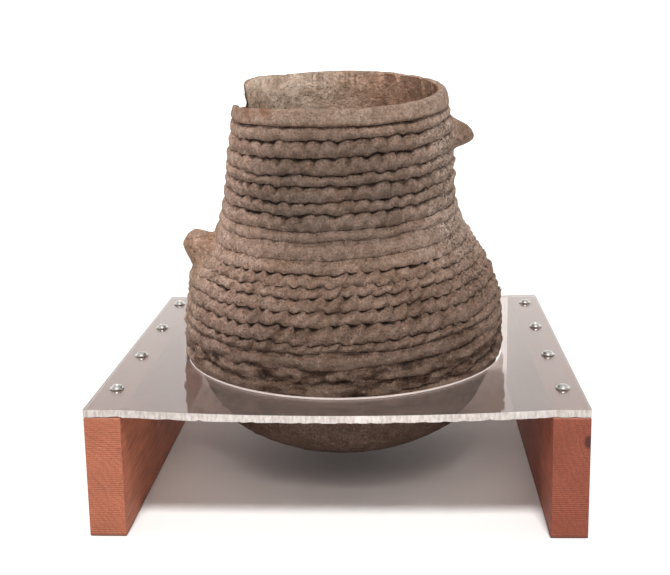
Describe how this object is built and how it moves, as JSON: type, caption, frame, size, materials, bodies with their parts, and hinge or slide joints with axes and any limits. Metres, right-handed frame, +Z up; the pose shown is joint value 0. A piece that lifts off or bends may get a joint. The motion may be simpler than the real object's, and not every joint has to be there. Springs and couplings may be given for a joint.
{
  "type": "corrugated pottery jar on display stand",
  "caption": "Coil-built corrugated clay jar with broken lugs and a chipped rim, held upright in the round hole of a clear sheet laid over two wooden boards.",
  "frame": {"origin": "on the table, under the middle of the stand: the centre of the bounding box's underside", "axes": "+Z up; -Y towards the front, the side the jar leans to; +X to the right of someone facing the front"},
  "size_m": [0.254, 0.254, 0.2271],
  "materials": {
    "fired_clay": "unglazed, matte, coarse",
    "clear_acrylic": "polished, see-through, edges sawn rough",
    "stained_wood": "reddish stain, planed",
    "bright_steel": "bright"
  },
  "bodies": {
    "root": {"jar": "fired_clay", "acrylic_sheet": "clear_acrylic", "board_left": "stained_wood", "board_right": "stained_wood", "screw_left_1": "bright_steel", "screw_left_2": "bright_steel", "screw_left_3": "bright_steel", "screw_left_4": "bright_steel", "screw_right_1": "bright_steel", "screw_right_2": "bright_steel", "screw_right_3": "bright_steel", "screw_right_4": "bright_steel"}
  },
  "joints": []
}
